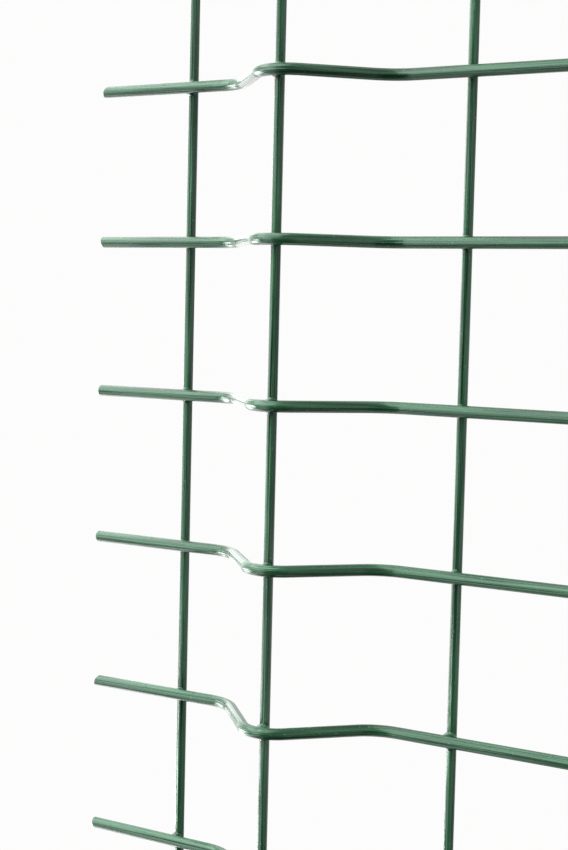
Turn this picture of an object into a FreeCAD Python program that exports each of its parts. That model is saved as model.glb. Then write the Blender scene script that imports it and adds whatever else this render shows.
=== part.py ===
import FreeCAD, Part
import Sketcher
import math
import os

# Folded welded mesh fence panel, in millimetres.
# X runs along the fence, Z is up, and the folds stand out towards -Y.
# The origin is at the foot of the left end upright, on its outer flat, which bears on the post.
# The upright wires run in front, and the line wires are welded across their backs.
# Every wire is a bar of eight sides, with corners on the round wire's surface, and flats meet at the welds.

SIZES = {
    "upright_pitch": 50.0,
    "upright_diameter": 3.7,
    "line_diameter": 3.1,
    "bottom_end": 4.0,
    "top_end": 34.0,
    "side_end": 4.0,
    "cell_height": 200.0,
    "fold_height": 100.0,
    "crest_drop": 48.2,
    "crest_depth": 25.5,
    "crest_wire_drop": 0.5,
    "leg_angle": 47.3,
    "crest_radius": 10.0,
    "shoulder_radius": 15.5,
}
UPRIGHTS = 41
CELLS_BETWEEN_FOLDS = 4
FOLDS = 2
BAR_SIDES = 8
CREST_CHORDS = 3
SHOULDER_CHORDS = 2

doc = FreeCAD.newDocument("folded_mesh_panel")


def make_sheet():
    sheet = doc.addObject("Spreadsheet::Sheet", "sizes")
    for row, (name, value) in enumerate(SIZES.items(), start=1):
        sheet.set(f"A{row}", name)
        sheet.set(f"B{row}", str(value))
        sheet.setAlias(f"B{row}", name)
    doc.recompute()
    return sheet


sheet = make_sheet()


def cell(name):
    return f"<<sizes>>.{name}"


# Heights of the folds and line wires above the cut lower ends

def fold_base(fold):
    """Height of a fold's lowest line wire, as an expression: folds lie at the foot and at the head."""
    rise = f"{cell('fold_height')} + {CELLS_BETWEEN_FOLDS} * {cell('cell_height')}"
    return f"{cell('bottom_end')} + {fold} * ({rise})"


def crest_height(fold):
    return f"{fold_base(fold)} + {cell('fold_height')} - {cell('crest_drop')}"


def panel_height():
    return f"{fold_base(FOLDS - 1)} + {cell('fold_height')} + {cell('top_end')}"


def value_of(expression):
    return float(sheet.evalExpression(expression))


# Sketches

def new_sketch(body, name, role):
    plane = next(item for item in body.Origin.OriginFeatures if item.Role == role)
    sketch = body.newObject("Sketcher::SketchObject", name)
    sketch.AttachmentSupport = [(plane, "")]
    sketch.MapMode = "FlatFace"
    return sketch


def constrain(sketch, expression, *definition):
    index = sketch.addConstraint(Sketcher.Constraint(*definition, value_of(expression)))
    sketch.setExpression(f"Constraints[{index}]", expression)


def draw_bar_section(sketch, diameter):
    """A regular polygon inside the wire's circle, with flats square to the sketch's axes."""
    radius = value_of(cell(diameter)) / 2
    step = 2 * math.pi / BAR_SIDES
    corners = [
        FreeCAD.Vector(radius * math.cos(step * (i - 0.5)), radius * math.sin(step * (i - 0.5)), 0)
        for i in range(BAR_SIDES)
    ]
    for i in range(BAR_SIDES):
        sketch.addGeometry(Part.LineSegment(corners[i], corners[(i + 1) % BAR_SIDES]))
    circle = sketch.addGeometry(Part.Circle(FreeCAD.Vector(), FreeCAD.Vector(0, 0, 1), radius), True)
    for i in range(BAR_SIDES):
        sketch.addConstraint(Sketcher.Constraint("Coincident", i, 2, (i + 1) % BAR_SIDES, 1))
        sketch.addConstraint(Sketcher.Constraint("PointOnObject", i, 1, circle))
    for i in range(1, BAR_SIDES):
        sketch.addConstraint(Sketcher.Constraint("Equal", 0, i))
    sketch.addConstraint(Sketcher.Constraint("Coincident", circle, 3, -1, 1))
    sketch.addConstraint(Sketcher.Constraint("Vertical", 0))
    constrain(sketch, cell(diameter), "Diameter", circle)


class UprightPath:
    """The centre line of an upright wire, drawn from its foot up, with depth measured forward."""

    def __init__(self, sketch):
        self.sketch = sketch
        self.tip = FreeCAD.Vector()
        self.runs = 0

    def run_to(self, depth, height):
        """A straight run to a point given as expressions; a depth of None is on the wire's plane."""
        end = FreeCAD.Vector(0 if depth is None else -value_of(depth), value_of(height), 0)
        line = self.sketch.addGeometry(Part.LineSegment(self.tip, end))
        if self.runs:
            self.sketch.addConstraint(Sketcher.Constraint("Coincident", line - 1, 2, line, 1))
        else:
            self.sketch.addConstraint(Sketcher.Constraint("Coincident", line, 1, -1, 1))
        if depth is None:
            self.sketch.addConstraint(Sketcher.Constraint("PointOnObject", line, 2, -2))
        else:
            constrain(self.sketch, depth, "DistanceX", line, 2, -1, 1)
        constrain(self.sketch, height, "DistanceY", -1, 1, line, 2)
        self.tip = end
        self.runs += 1

    def bend(self, centre, radius, start, turn, chords, first=0):
        """Chords of an arc about centre, from start through turn, in angles from straight ahead, upwards."""
        depth, height = centre
        for i in range(first, chords + 1):
            angle = f"({start} + {turn} * {i} / {chords})"
            self.run_to(f"{depth} + {radius} * cos({angle})", f"{height} + {radius} * sin({angle})")


def draw_upright_path(sketch):
    """Sketch X is the panel's Y, and sketch Y is its Z. Each fold is shoulder, leg, crest, leg, shoulder."""
    angle = cell("leg_angle")
    crest_radius = cell("crest_radius")
    shoulder_radius = cell("shoulder_radius")
    crest_depth = f"({cell('crest_depth')} - {crest_radius})"
    # From the crest's centre to a shoulder's centre, so that the leg is tangent to both arcs
    reach = f"(({crest_radius} + {shoulder_radius}) / cos({angle}) + {crest_depth} - {shoulder_radius})"
    span = f"{reach} / tan({angle})"
    path = UprightPath(sketch)
    for fold in range(FOLDS):
        crest_z = f"({crest_height(fold)})"
        lower = (shoulder_radius, f"({crest_z} - {span})")
        crest = (crest_depth, crest_z)
        upper = (shoulder_radius, f"({crest_z} + {span})")
        path.run_to(None, lower[1])
        path.bend(lower, shoulder_radius, "180", f"(-{angle})", SHOULDER_CHORDS, first=1)
        path.bend(crest, crest_radius, f"(-{angle})", f"(2 * {angle})", CREST_CHORDS)
        path.bend(upper, shoulder_radius, f"(180 + {angle})", f"(-{angle})", SHOULDER_CHORDS)
    path.run_to(None, panel_height())
    return path.runs


# Wires

def new_body(name):
    body = doc.addObject("PartDesign::Body", name)
    body.Label = name
    doc.recompute()
    return body


def make_upright(name):
    body = new_body(name)
    section = new_sketch(body, name + "_section", "XY_Plane")
    draw_bar_section(section, "upright_diameter")
    path = new_sketch(body, name + "_path", "YZ_Plane")
    edges = draw_upright_path(path)
    pipe = body.newObject("PartDesign::AdditivePipe", name + "_pipe")
    pipe.Profile = section
    pipe.Spine = (path, [f"Edge{i + 1}" for i in range(edges)])
    pipe.Transition = "Right corner"
    doc.recompute()
    return body


def make_line_wire(name):
    body = new_body(name)
    section = new_sketch(body, name + "_section", "YZ_Plane")
    draw_bar_section(section, "line_diameter")
    pad = body.newObject("PartDesign::Pad", name + "_pad")
    pad.Profile = section
    pad.setExpression("Length", f"{UPRIGHTS - 1} * {cell('upright_pitch')} + 2 * {cell('side_end')}")
    doc.recompute()
    return body


def repeat(original, name):
    """A body of its own that takes its form from the original."""
    body = new_body(name)
    copy = doc.addObject("PartDesign::FeatureBase", name + "_form")
    copy.BaseFeature = original
    body.Group = [copy]
    body.Tip = copy
    return body


def place(body, across, depth="0", height="0"):
    for axis, distance in (("x", across), ("y", depth), ("z", height)):
        body.setExpression(f"Placement.Base.{axis}", distance)


def flat_to_axis(diameter):
    return f"{cell(diameter)} / 2 * cos({180 / BAR_SIDES})"


def make_uprights():
    uprights = []
    for number in range(UPRIGHTS):
        name = f"upright_wire_{number + 1:02d}"
        body = repeat(uprights[0], name) if uprights else make_upright(name)
        place(body, f"{flat_to_axis('upright_diameter')} + {number} * {cell('upright_pitch')}")
        uprights.append(body)
    return uprights


def line_wire_places():
    """Depth and height of each line wire, from the lowest up."""
    contact = f"({flat_to_axis('upright_diameter')} + {flat_to_axis('line_diameter')})"
    # The middle wire of a fold lies inside the crest, on its middle chord
    chord_sink = f"{cell('crest_radius')} * (1 - cos({cell('leg_angle')} / {CREST_CHORDS}))"
    crest_contact = f"{contact} + {chord_sink} - {cell('crest_depth')}"
    places = []
    for fold in range(FOLDS):
        top = f"{fold_base(fold)} + {cell('fold_height')}"
        places.append((contact, fold_base(fold)))
        places.append((crest_contact, f"{crest_height(fold)} - {cell('crest_wire_drop')}"))
        places.append((contact, top))
        if fold < FOLDS - 1:
            for count in range(1, CELLS_BETWEEN_FOLDS):
                places.append((contact, f"{top} + {count} * {cell('cell_height')}"))
    return places


def make_line_wires():
    """Line wires run past the axes of the end uprights by the side end."""
    across = f"{flat_to_axis('upright_diameter')} - {cell('side_end')}"
    wires = []
    for number, (depth, height) in enumerate(line_wire_places(), start=1):
        name = f"line_wire_{number}"
        body = repeat(wires[0], name) if wires else make_line_wire(name)
        place(body, across, depth, height)
        wires.append(body)
    return wires


def check_and_write(bodies):
    doc.recompute()
    for item in doc.Objects:
        if "Invalid" in item.State or "Error" in item.State:
            raise RuntimeError(f"{item.Label} failed to compute")
    for body in bodies:
        if body.Shape.isNull() or not body.Shape.isValid() or len(body.Shape.Solids) != 1:
            raise RuntimeError(f"{body.Label} isn't one valid solid")
    os.makedirs("parts", exist_ok=True)
    for body in bodies:
        body.Shape.exportStep(f"parts/{body.Label}.step")


check_and_write(make_uprights() + make_line_wires())
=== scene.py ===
import math

import bpy
import numpy as np
from mathutils import Matrix, Vector


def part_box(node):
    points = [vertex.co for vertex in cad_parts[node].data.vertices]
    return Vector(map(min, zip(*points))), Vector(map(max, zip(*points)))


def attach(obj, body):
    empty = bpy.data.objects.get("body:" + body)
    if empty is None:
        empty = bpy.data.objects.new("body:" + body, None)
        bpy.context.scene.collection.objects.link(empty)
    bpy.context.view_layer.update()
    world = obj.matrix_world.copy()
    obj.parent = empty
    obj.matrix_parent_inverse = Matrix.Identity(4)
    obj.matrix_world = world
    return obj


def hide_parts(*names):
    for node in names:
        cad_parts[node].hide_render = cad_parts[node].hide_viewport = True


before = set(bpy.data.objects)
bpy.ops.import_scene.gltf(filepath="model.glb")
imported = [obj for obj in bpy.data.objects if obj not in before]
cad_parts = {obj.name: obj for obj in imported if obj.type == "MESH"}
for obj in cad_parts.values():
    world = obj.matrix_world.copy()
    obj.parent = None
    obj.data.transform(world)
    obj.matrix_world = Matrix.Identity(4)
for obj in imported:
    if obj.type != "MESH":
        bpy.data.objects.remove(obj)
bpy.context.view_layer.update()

# The folded mesh panel's looks, in metres, in the CAD frame.
# X runs along the fence, Z is up, and the folds stand out towards -Y.

uprights = sorted(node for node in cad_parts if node.startswith("upright_wire"))
line_wires = sorted(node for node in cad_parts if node.startswith("line_wire"))

# The wires' own sizes, as the CAD has them
UPRIGHT_RADIUS = 0.00185
LINE_RADIUS = 0.00155
CREST_RADIUS = 0.010
SHOULDER_RADIUS = 0.0155
CREST_DROP = 0.0482
LEG_ANGLE = math.radians(47.3)
# 0.2 mm less than the CAD's arc: the line wire sits on that arc's chord, and the smooth crest touches it too
CREST_DEPTH = 0.0253

# The line wires at the tops of the two folds, by their places from the lowest and from the highest
FOLD_TOPS = (2, -1)

# How finely the meshes are divided
SIDES = 32
CREST_STEPS = 20
SHOULDER_STEPS = 12
END_STEPS = 5

# Ends: the coat rounds their rims, and the shears leave each cut a little aslant
END_ROUNDING = 0.00035
CUT_SLANT = 0.16
# Slants along the fence of the cut heads that the photograph shows, from its top down
PHOTO_CUTS = {22: -0.36, 21: 0.15, 20: -0.08, 19: 0.0, 18: -0.32, 17: 0.2}

# Welds: how finely their beads are divided, the radii that they draw from, and how deep their edges sink
BEAD_AROUND = 32
BEAD_ACROSS = 6
BEAD_RADII = (0.0006, 0.0008, 0.001, 0.0013)
BEAD_SINK = 0.00035
# A weld looks this far up and down the upright, at points this close together, for this many ball places
WELD_REACH = 0.02
CENTRE_STEP = 0.0001
BALL_PLACES = 721

SEED = 7
# How far apart the wires lie in the coat's noise, in metres, so that no two have the same streaks
SKIN_STEP = 3


def middle(node):
    low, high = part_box(node)
    return (low + high) / 2


# Centre lines

def arc(centre, radius, start, end, steps):
    """Stations (depth, height, lean) on a bend from lean start to lean end, with depth towards -Y."""
    side = 1 if end < start else -1
    stations = []
    for lean in np.linspace(start, end, steps + 1):
        depth = centre[0] + side * radius * math.cos(lean)
        height = centre[1] - side * radius * math.sin(lean)
        stations.append((depth, height, lean))
    return stations


def fold(crest_height):
    """One fold from its lower shoulder to its upper one."""
    crest = (CREST_DEPTH - CREST_RADIUS, crest_height)
    reach = (CREST_RADIUS + SHOULDER_RADIUS) / math.cos(LEG_ANGLE) + crest[0] - SHOULDER_RADIUS
    span = reach / math.tan(LEG_ANGLE)
    lower = (SHOULDER_RADIUS, crest_height - span)
    upper = (SHOULDER_RADIUS, crest_height + span)
    return (
        arc(lower, SHOULDER_RADIUS, 0, LEG_ANGLE, SHOULDER_STEPS)
        + arc(crest, CREST_RADIUS, LEG_ANGLE, -LEG_ANGLE, CREST_STEPS)
        + arc(upper, SHOULDER_RADIUS, -LEG_ANGLE, 0, SHOULDER_STEPS)
    )


def fold_crests():
    """Each crest lies the crest drop below the line wire at its fold's top."""
    return [middle(line_wires[top]).z - CREST_DROP for top in FOLD_TOPS]


def upright_stations():
    low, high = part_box(uprights[0])
    stations = [(0, low.z, 0)]
    for crest in fold_crests():
        stations += fold(crest)
    return stations + [(0, high.z, 0)]


# Meshes

def new_piece(name, vertices, normals, skin, faces, material):
    """A smooth mesh. Its skin holds each point's place across and along the wire, for the coat's streaks."""
    mesh = bpy.data.meshes.new(name)
    mesh.from_pydata(vertices.tolist(), [], faces)
    mesh.polygons.foreach_set("use_smooth", [True] * len(faces))
    mesh.materials.append(material)
    layer = mesh.attributes.new("skin", "FLOAT_VECTOR", "POINT")
    layer.data.foreach_set("vector", skin.ravel())
    mesh.normals_split_custom_set_from_vertices(normals.tolist())
    piece = bpy.data.objects.new(name, mesh)
    bpy.context.scene.collection.objects.link(piece)
    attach(piece, "root")
    return piece


def ring_faces(rings, sides):
    """Quads between each ring and the next, and a fan to the point at either end."""
    faces = []
    for r in range(rings - 1):
        for i in range(sides):
            j = (i + 1) % sides
            faces.append((r * sides + i, (r + 1) * sides + i, (r + 1) * sides + j, r * sides + j))
    first, last = rings * sides, rings * sides + 1
    top = (rings - 1) * sides
    for i in range(sides):
        j = (i + 1) % sides
        faces.append((i, j, first))
        faces.append((top + j, top + i, last))
    return faces


class Tube:
    """A round wire built ring by ring from its start. side is square to its whole centre line."""

    def __init__(self, radius, side):
        self.radius = radius
        self.side = side
        self.turns = np.linspace(0, 2 * math.pi, SIDES, endpoint=False)
        self.vertices = []
        self.normals = []
        self.skin = []

    def ring(self, centre, direction, length, size=None, outward=1, along=0, slant=(0, 0)):
        """One ring. outward and along are the normal's parts off the axis and on it."""
        size = self.radius if size is None else size
        square = np.cross(direction, self.side)
        spokes = np.outer(np.cos(self.turns), square) + np.outer(np.sin(self.turns), self.side)
        lean = size * (slant[0] * np.cos(self.turns) + slant[1] * np.sin(self.turns))
        self.vertices.append(centre + size * spokes + np.outer(lean, direction))
        self.normals.append(outward * spokes + along * direction)
        across = size * np.column_stack((np.cos(self.turns), np.sin(self.turns)))
        self.skin.append(np.column_stack((across, np.full(SIDES, length))))

    def end(self, centre, direction, length, sign, slant):
        """A cut end with a rounded rim, drawn back so that its highest point stays at the wire's end.

        sign is -1 at the wire's start and 1 at its far end."""
        reach = self.radius * math.hypot(*slant)
        base = centre - sign * reach * direction
        turns = np.linspace(0, math.pi / 2, END_STEPS)
        for turn in (turns if sign < 0 else turns[::-1]):
            size = self.radius - END_ROUNDING * (1 - math.sin(turn))
            spot = base - sign * END_ROUNDING * (1 - math.cos(turn)) * direction
            self.ring(spot, direction, length, size, math.sin(turn), sign * math.cos(turn), slant)
        return base, sign * direction

    def finish(self, name, ends, offset, material):
        """Close both ends and make the piece. offset is the wire's place along the coat's noise."""
        points = np.array([point for point, _ in ends])
        caps = np.array([normal for _, normal in ends])
        skin = np.vstack(self.skin + [np.zeros((2, 3))]) + np.array((0, 0, offset))
        vertices = np.vstack(self.vertices + [points])
        faces = ring_faces(len(self.vertices), SIDES)
        return new_piece(name, vertices, np.vstack(self.normals + [caps]), skin, faces, material)


def make_uprights(material):
    stations = upright_stations()
    side = np.array((1.0, 0.0, 0.0))
    rng = np.random.default_rng(SEED)
    for number, node in enumerate(uprights):
        x = middle(node).x
        foot_slant, head_slant = rng.uniform(-CUT_SLANT, CUT_SLANT, (2, 2))
        if number in PHOTO_CUTS:
            head_slant[1] = PHOTO_CUTS[number]
        tube = Tube(UPRIGHT_RADIUS, side)
        spots = [np.array((x, -depth, height)) for depth, height, _ in stations]
        ways = [np.array((0, -math.sin(lean), math.cos(lean))) for _, _, lean in stations]
        foot = tube.end(spots[0], ways[0], 0, -1, foot_slant)
        length = 0
        for i in range(1, len(spots) - 1):
            length += np.linalg.norm(spots[i] - spots[i - 1])
            tube.ring(spots[i], ways[i], length)
        length += np.linalg.norm(spots[-1] - spots[-2])
        head = tube.end(spots[-1], ways[-1], length, 1, head_slant)
        piece = tube.finish(node.replace("wire", "coated"), (foot, head), SKIN_STEP * number, material)
        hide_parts(node)


def make_line_wires(material):
    side = np.array((0.0, 0.0, 1.0))
    way = np.array((1.0, 0.0, 0.0))
    rng = np.random.default_rng(SEED + 1)
    for number, node in enumerate(line_wires):
        low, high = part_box(node)
        place = middle(node)
        slants = rng.uniform(-CUT_SLANT, CUT_SLANT, (2, 2))
        start = np.array((low.x, place.y, place.z))
        finish = np.array((high.x, place.y, place.z))
        tube = Tube(LINE_RADIUS, side)
        left = tube.end(start, way, 0, -1, slants[0])
        right = tube.end(finish, way, high.x - low.x, 1, slants[1])
        offset = -SKIN_STEP * (number + 1)
        piece = tube.finish(node.replace("wire", "coated"), (left, right), offset, material)
        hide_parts(node)


# Welds: the coat draws into a bead all round each crossing

def dense_centre_line():
    """Points close together on an upright's centre line, as (y, z)."""
    points = []
    stations = upright_stations()
    for (d0, h0, _), (d1, h1, _) in zip(stations, stations[1:]):
        steps = max(2, int(math.hypot(d1 - d0, h1 - h0) / CENTRE_STEP))
        for share in np.linspace(0, 1, steps, endpoint=False):
            points.append((-(d0 + share * (d1 - d0)), h0 + share * (h1 - h0)))
    return np.array(points)


def ball_place(near, y, z, reach, turn):
    """The gap from a ball's centre to the upright, the upright's point there, and the centre itself.

    The centre is at reach from the line wire at (y, z), at this turn round it."""
    spot = np.array((y + reach * math.cos(turn), z + reach * math.sin(turn)))
    offsets = near - spot
    distances = np.hypot(offsets[:, 0], offsets[:, 1])
    nearest = int(distances.argmin())
    return distances[nearest], near[nearest], spot


def touching_turns(near, y, z, reach, limit):
    """The turns between which the ball is near enough to touch the upright as well."""
    turns = np.linspace(0, 2 * math.pi, BALL_PLACES)
    inside = np.array([ball_place(near, y, z, reach, turn)[0] < limit for turn in turns])
    start = turns[np.flatnonzero(inside & ~np.roll(inside, 1))[0]]
    end = turns[np.flatnonzero(inside & ~np.roll(inside, -1))[0]]
    if end < start:
        end += 2 * math.pi
    return start, end


def unit(vector):
    return vector / np.linalg.norm(vector)


def bead_section(centre, upright_axis, line_axis, ball):
    """Points and normals across the fillet where the ball is, then those of its edges, sunk in the wires."""
    to_upright = unit(upright_axis - centre)
    to_line = unit(line_axis - centre)
    angle = math.acos(np.clip(to_upright @ to_line, -1, 1))
    points = []
    normals = []
    for k in range(BEAD_ACROSS + 1):
        share = k / BEAD_ACROSS
        direction = unit(math.sin((1 - share) * angle) * to_upright + math.sin(share * angle) * to_line)
        points.append(centre + ball * direction)
        normals.append(-direction)
    for direction in (to_line, to_upright):
        points.append(centre + (ball + BEAD_SINK) * direction)
        normals.append(direction)
    return points, normals


def bead_faces(per_section):
    """Quads that join each section to the next, all the way round."""
    faces = []
    for i in range(BEAD_AROUND):
        j = (i + 1) % BEAD_AROUND
        for k in range(per_section):
            m = (k + 1) % per_section
            corners = ((i, k), (j, k), (j, m), (i, m))
            faces.append(tuple(section * per_section + point for section, point in corners))
    return faces


def bead(line, y, z, ball):
    """A rolling ball's fillet between an upright at x = 0 and a line wire at (y, z), as a closed ring.

    The ball's centre stays its radius away from both wires, so it goes round the crossing in one loop."""
    near = line[np.abs(line[:, 1] - z) < WELD_REACH]
    reach = LINE_RADIUS + ball
    limit = UPRIGHT_RADIUS + ball
    start, end = touching_turns(near, y, z, reach, limit)
    vertices = []
    normals = []
    for i in range(BEAD_AROUND):
        round_turn = 2 * math.pi * i / BEAD_AROUND
        turn = (start + end) / 2 - (end - start) / 2 * math.cos(round_turn)
        gap, foot, spot = ball_place(near, y, z, reach, turn)
        x = math.sqrt(max(limit**2 - gap**2, 0)) * (1 if round_turn < math.pi else -1)
        centre = np.array((x, spot[0], spot[1]))
        upright_axis = np.array((0, foot[0], foot[1]))
        points, directions = bead_section(centre, upright_axis, np.array((x, y, z)), ball)
        vertices += points
        normals += directions
    return np.array(vertices), np.array(normals), bead_faces(len(vertices) // BEAD_AROUND)


def make_beads(material):
    line = dense_centre_line()
    rng = np.random.default_rng(SEED)
    shapes = {}
    for node in line_wires:
        place = middle(node)
        vertices = []
        normals = []
        faces = []
        for upright in uprights:
            size = BEAD_RADII[int(rng.integers(len(BEAD_RADII)))]
            key = (round(place.y, 5), size)
            if key not in shapes:
                shapes[key] = (place.z, bead(line, place.y, place.z, size))
            made_at, (points, directions, quads) = shapes[key]
            start = sum(len(part) for part in vertices)
            vertices.append(points + np.array((middle(upright).x, 0, place.z - made_at)))
            normals.append(directions)
            faces += [tuple(start + i for i in quad) for quad in quads]
        number = node.rsplit("_", 1)[1]
        points = np.vstack(vertices)
        new_piece(f"weld_beads_{number}", points, np.vstack(normals), points, faces, material)


# Materials

DARK_GREEN = (0.007, 0.038, 0.016)
LIGHT_GREEN = (0.032, 0.123, 0.057)
PALE_FLECK = (0.16, 0.29, 0.21)
GLOSS_TINT = (0.72, 1.0, 0.84, 1)
COAT_ROUGHNESS = (0.15, 0.27)
COAT_IOR = 1.5
RIDGE_DEPTH = 0.0005
RIPPLE_DEPTH = 0.00004
# The coat's noises, as cycles per metre across the wire and along it, and detail
COLOUR_NOISE = (1100, 25, 2)
FLECK_NOISE = (1300, 600, 1)
SHINE_NOISE = (1500, 25, 2)
RIDGE_NOISE = (1200, 12, 2)
RIPPLE_NOISE = (350, 350, 2)
# The noise levels between which the colour lightens, and those between which a fleck comes in
COLOUR_LEVELS = (0.35, 0.65)
FLECK_LEVELS = (0.72, 0.82)
# The card's black, a painted dark reflection that the wires show in their gloss
CARD_BLACK = (0.03, 0.03, 0.03, 1)
SURROUND = (0.975, 0.975, 0.972, 1)
# The floor's colour and glow near the panel, and the distances over which it fades into the surround
FLOOR_GREY = (0.27, 0.27, 0.265)
FLOOR_GLOW = 0.636
FLOOR_FADE_START = 2
FLOOR_REACH = 7


def new_material(name):
    material = bpy.data.materials.new(name)
    material.use_nodes = True
    nodes = material.node_tree.nodes
    return material, nodes, material.node_tree.links, nodes["Principled BSDF"]


def streaks(nodes, links, across, along, detail):
    """Noise drawn out along each wire, from the skin's place across the wire and length along it."""
    skin = nodes.new("ShaderNodeAttribute")
    skin.attribute_name = "skin"
    stretch = nodes.new("ShaderNodeVectorMath")
    stretch.operation = "MULTIPLY"
    stretch.inputs[1].default_value = (across, across, along)
    noise = nodes.new("ShaderNodeTexNoise")
    noise.inputs["Scale"].default_value = 1
    noise.inputs["Detail"].default_value = detail
    links.new(skin.outputs["Vector"], stretch.inputs[0])
    links.new(stretch.outputs["Vector"], noise.inputs["Vector"])
    return noise.outputs["Fac"]


def ramp(nodes, links, value, low, high, start, end):
    """A smooth passage from one colour to another as the value rises from start to end."""
    mix = nodes.new("ShaderNodeValToRGB")
    mix.color_ramp.interpolation = "EASE"
    mix.color_ramp.elements[0].position = start
    mix.color_ramp.elements[0].color = (*low, 1)
    mix.color_ramp.elements[1].position = end
    mix.color_ramp.elements[1].color = (*high, 1)
    links.new(value, mix.inputs["Fac"])
    return mix.outputs["Color"]


def level_between(nodes, links, value, low, high, start=0, end=1):
    """A number that goes from low to high as the value rises from start to end."""
    level = nodes.new("ShaderNodeMapRange")
    level.inputs["From Min"].default_value = start
    level.inputs["From Max"].default_value = end
    level.inputs["To Min"].default_value = low
    level.inputs["To Max"].default_value = high
    links.new(value, level.inputs["Value"])
    return level.outputs["Result"]


def bump(nodes, links, height, distance, below=None):
    node = nodes.new("ShaderNodeBump")
    node.inputs["Distance"].default_value = distance
    links.new(height, node.inputs["Height"])
    if below is not None:
        links.new(below, node.inputs["Normal"])
    return node.outputs["Normal"]


def flecked(nodes, links, colour):
    """The colour with a few pale flecks of dust and scuffs under 1 mm long on it."""
    mask = level_between(nodes, links, streaks(nodes, links, *FLECK_NOISE), 0, 1, *FLECK_LEVELS)
    mix = nodes.new("ShaderNodeMix")
    mix.data_type = "RGBA"
    mix.inputs["B"].default_value = (*PALE_FLECK, 1)
    links.new(mask, mix.inputs["Factor"])
    links.new(colour, mix.inputs["A"])
    return mix.outputs["Result"]


def coat_material():
    """Glossy green plastic drawn over wire: fine lengthwise ridges, uneven colour and a faint ripple."""
    material, nodes, links, shader = new_material("green_plastic")
    tone = streaks(nodes, links, *COLOUR_NOISE)
    green = ramp(nodes, links, tone, DARK_GREEN, LIGHT_GREEN, *COLOUR_LEVELS)
    links.new(flecked(nodes, links, green), shader.inputs["Base Color"])
    shine = streaks(nodes, links, *SHINE_NOISE)
    links.new(level_between(nodes, links, shine, *COAT_ROUGHNESS), shader.inputs["Roughness"])
    ridges = bump(nodes, links, streaks(nodes, links, *RIDGE_NOISE), RIDGE_DEPTH)
    ripple = bump(nodes, links, streaks(nodes, links, *RIPPLE_NOISE), RIPPLE_DEPTH, ridges)
    links.new(ripple, shader.inputs["Normal"])
    shader.inputs["IOR"].default_value = COAT_IOR
    shader.inputs["Specular Tint"].default_value = GLOSS_TINT
    return material


def seen_by_eye_or_gloss(nodes, links):
    """1 for the camera's rays and for those of gloss and glass, and 0 for the rays that light things."""
    path = nodes.new("ShaderNodeLightPath")
    seen = path.outputs["Is Camera Ray"]
    for ray in ("Is Glossy Ray", "Is Transmission Ray"):
        either = nodes.new("ShaderNodeMath")
        either.operation = "MAXIMUM"
        links.new(seen, either.inputs[0])
        links.new(path.outputs[ray], either.inputs[1])
        seen = either.outputs["Value"]
    return seen


def floor_material():
    """Pale by a glow that doesn't light the panel, and one with the surround at its far edge."""
    material, nodes, links, shader = new_material("pale_floor")
    shader.inputs["Roughness"].default_value = 1
    shader.inputs["Specular IOR Level"].default_value = 0
    shader.inputs["Emission Color"].default_value = SURROUND
    place = nodes.new("ShaderNodeNewGeometry")
    distance = nodes.new("ShaderNodeVectorMath")
    distance.operation = "LENGTH"
    links.new(place.outputs["Position"], distance.inputs[0])
    away = level_between(nodes, links, distance.outputs["Value"], 0, 1, FLOOR_FADE_START, FLOOR_REACH)
    links.new(ramp(nodes, links, away, FLOOR_GREY, (0, 0, 0), 0, 1), shader.inputs["Base Color"])
    glow = nodes.new("ShaderNodeMath")
    glow.operation = "MULTIPLY"
    links.new(level_between(nodes, links, away, FLOOR_GLOW, 1), glow.inputs[0])
    links.new(seen_by_eye_or_gloss(nodes, links), glow.inputs[1])
    links.new(glow.outputs["Value"], shader.inputs["Emission Strength"])
    return material


def card_material():
    material, _, _, shader = new_material("dark_card")
    shader.inputs["Base Color"].default_value = CARD_BLACK
    shader.inputs["Roughness"].default_value = 1
    return material


# Stage

WORLD_LEVEL = 0.4
# The boxes stand round a point of the panel near the photograph's middle
BOX_TARGET = Vector((1.05, 0, 0.95))
BOX_DISTANCE = 8
# Soft boxes, as azimuth, elevation, width and height seen from 1 m, and brightness
SIDE_BOX = (330, 25, 1.47, 1.2, 4.4)
GLOSS_BOXES = {
    "left": (163, 44, 1.0, 0.43, 2.5),
    "top": (4, 70, 1.73, 1.33, 1.9),
    "front": (265, 28, 1.0, 0.53, 2.6),
    "back": (80, 50, 0.87, 0.67, 1.2),
    "glint": (187, 65, 0.8, 0.3, 18),
}
# The low box is under that point, near the floor, and pales the undersides of the line wires
LOW_BOX = (250, -76, 0.8, 0.4, 1.0)
LOW_DISTANCE = 0.85
# A black card for the dark room behind the camera, a painted dark reflection that shows only in the gloss,
# as azimuth, elevation, width and height
FRONT_CARD = (232, -18, 3.0, 1.3)
CARD_DISTANCE = 1


def make_floor():
    half = FLOOR_REACH
    mesh = bpy.data.meshes.new("floor")
    corners = [(-half, -half, 0), (half, -half, 0), (half, half, 0), (-half, half, 0)]
    mesh.from_pydata(corners, [], [(0, 1, 2, 3)])
    mesh.materials.append(floor_material())
    floor = bpy.data.objects.new("floor", mesh)
    bpy.context.scene.collection.objects.link(floor)


def make_world():
    """White behind the panel, in the gloss too, and a plain level of light."""
    world = bpy.data.worlds.new("surround")
    bpy.context.scene.world = world
    world.use_nodes = True
    nodes = world.node_tree.nodes
    links = world.node_tree.links
    strength = level_between(nodes, links, seen_by_eye_or_gloss(nodes, links), WORLD_LEVEL, 1)
    links.new(strength, nodes["Background"].inputs["Strength"])
    nodes["Background"].inputs["Color"].default_value = SURROUND


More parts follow.
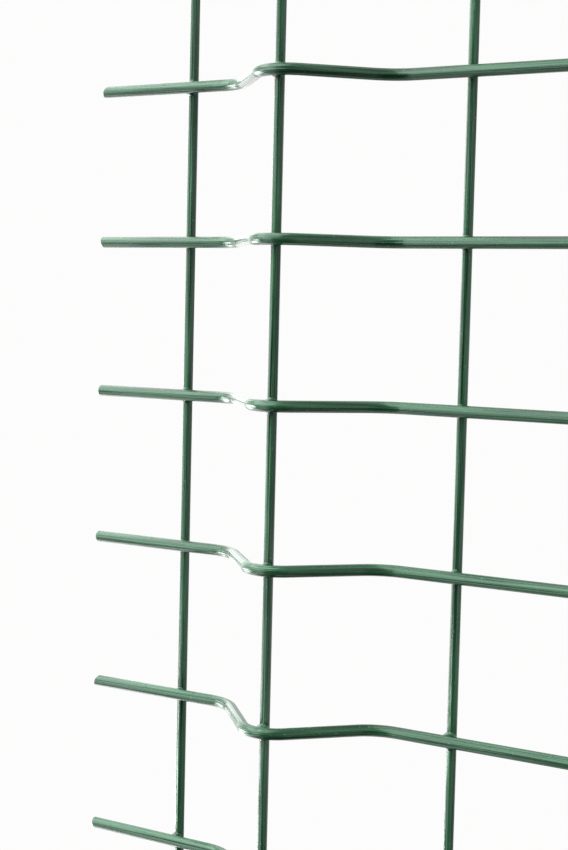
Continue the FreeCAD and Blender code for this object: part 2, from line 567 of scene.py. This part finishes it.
def stand(thing, azimuth, elevation, distance):
    """Stand a lamp or card round the target and face it, azimuth from +X and elevation from level."""
    azimuth = math.radians(azimuth)
    elevation = math.radians(elevation)
    level = math.cos(elevation)
    way = Vector((level * math.cos(azimuth), level * math.sin(azimuth), math.sin(elevation)))
    thing.location = BOX_TARGET + distance * way
    thing.rotation_euler = (-way).to_track_quat("-Z", "Y").to_euler()
    thing.visible_camera = False
    bpy.context.scene.collection.objects.link(thing)


def soft_box(name, azimuth, elevation, width, height, brightness, gloss_only=True, distance=BOX_DISTANCE):
    """A lamp sized as it looks from 1 m. A brightness of 1 is the white surround's."""
    light = bpy.data.lights.new(name, "AREA")
    light.shape = "RECTANGLE"
    light.size = width * distance
    light.size_y = height * distance
    light.energy = brightness * math.pi * light.size * light.size_y
    box = bpy.data.objects.new(name, light)
    stand(box, azimuth, elevation, distance)
    box.visible_diffuse = not gloss_only


def dark_card(name, azimuth, elevation, width, height):
    """A card that shows only in the gloss, as a painted dark reflection in the wires."""
    mesh = bpy.data.meshes.new(name)
    x, y = width / 2, height / 2
    mesh.from_pydata([(-x, -y, 0), (x, -y, 0), (x, y, 0), (-x, y, 0)], [], [(0, 1, 2, 3)])
    mesh.materials.append(card_material())
    card = bpy.data.objects.new(name, mesh)
    stand(card, azimuth, elevation, CARD_DISTANCE)
    card.visible_diffuse = False
    card.visible_shadow = False


def make_lights():
    soft_box("side", *SIDE_BOX, gloss_only=False)
    for name, box in GLOSS_BOXES.items():
        soft_box(name, *box)
    soft_box("low", *LOW_BOX, distance=LOW_DISTANCE)
    dark_card("front_card", *FRONT_CARD)


# Camera, fitted to the wires of the photograph. Three angles, in radians, turn its axes from the panel's
PHOTO_HEIGHT = 850
FOCAL_PIXELS = 1637.4
SENSOR = 36
CAMERA_PITCH = 0.074
CAMERA_YAW = 0.5513
CAMERA_ROLL = 0.0239
# From the crossing of the top line wire and the photograph's topmost upright: down, along and out in front
CAMERA_DOWN = 0.3107
CAMERA_ALONG = -0.0692
CAMERA_OUT = 0.4410
TOPMOST_UPRIGHT = 22


def make_camera():
    """The photograph is turned: its right is the panel's down, and its top the panel's +X."""
    roll = Matrix.Rotation(CAMERA_ROLL, 3, "Z")
    pitch = Matrix.Rotation(CAMERA_PITCH, 3, "X")
    yaw = Matrix.Rotation(CAMERA_YAW, 3, "Y")
    turned = roll @ pitch @ yaw
    photo_axes = (Vector((0, 0, -1)), Vector((-1, 0, 0)), Vector((0, 1, 0)))
    right, down, forward = (
        sum((turned[row][i] * photo_axes[i] for i in range(3)), Vector()) for row in range(3)
    )
    place = middle(uprights[TOPMOST_UPRIGHT])
    location = Vector((place.x + CAMERA_ALONG, -CAMERA_OUT, middle(line_wires[-1]).z - CAMERA_DOWN))
    data = bpy.data.cameras.new("camera")
    data.sensor_width = SENSOR
    data.lens = FOCAL_PIXELS * SENSOR / PHOTO_HEIGHT
    data.clip_start = 0.01
    data.clip_end = 100
    camera = bpy.data.objects.new("camera", data)
    axes = Matrix((right, -down, -forward)).transposed()
    camera.matrix_world = Matrix.Translation(location) @ axes.to_4x4()
    bpy.context.scene.collection.objects.link(camera)
    bpy.context.scene.camera = camera


coat = coat_material()
make_uprights(coat)
make_line_wires(coat)
make_beads(coat)
make_floor()
make_world()
make_lights()
make_camera()
bpy.context.scene.view_settings.view_transform = "Standard"
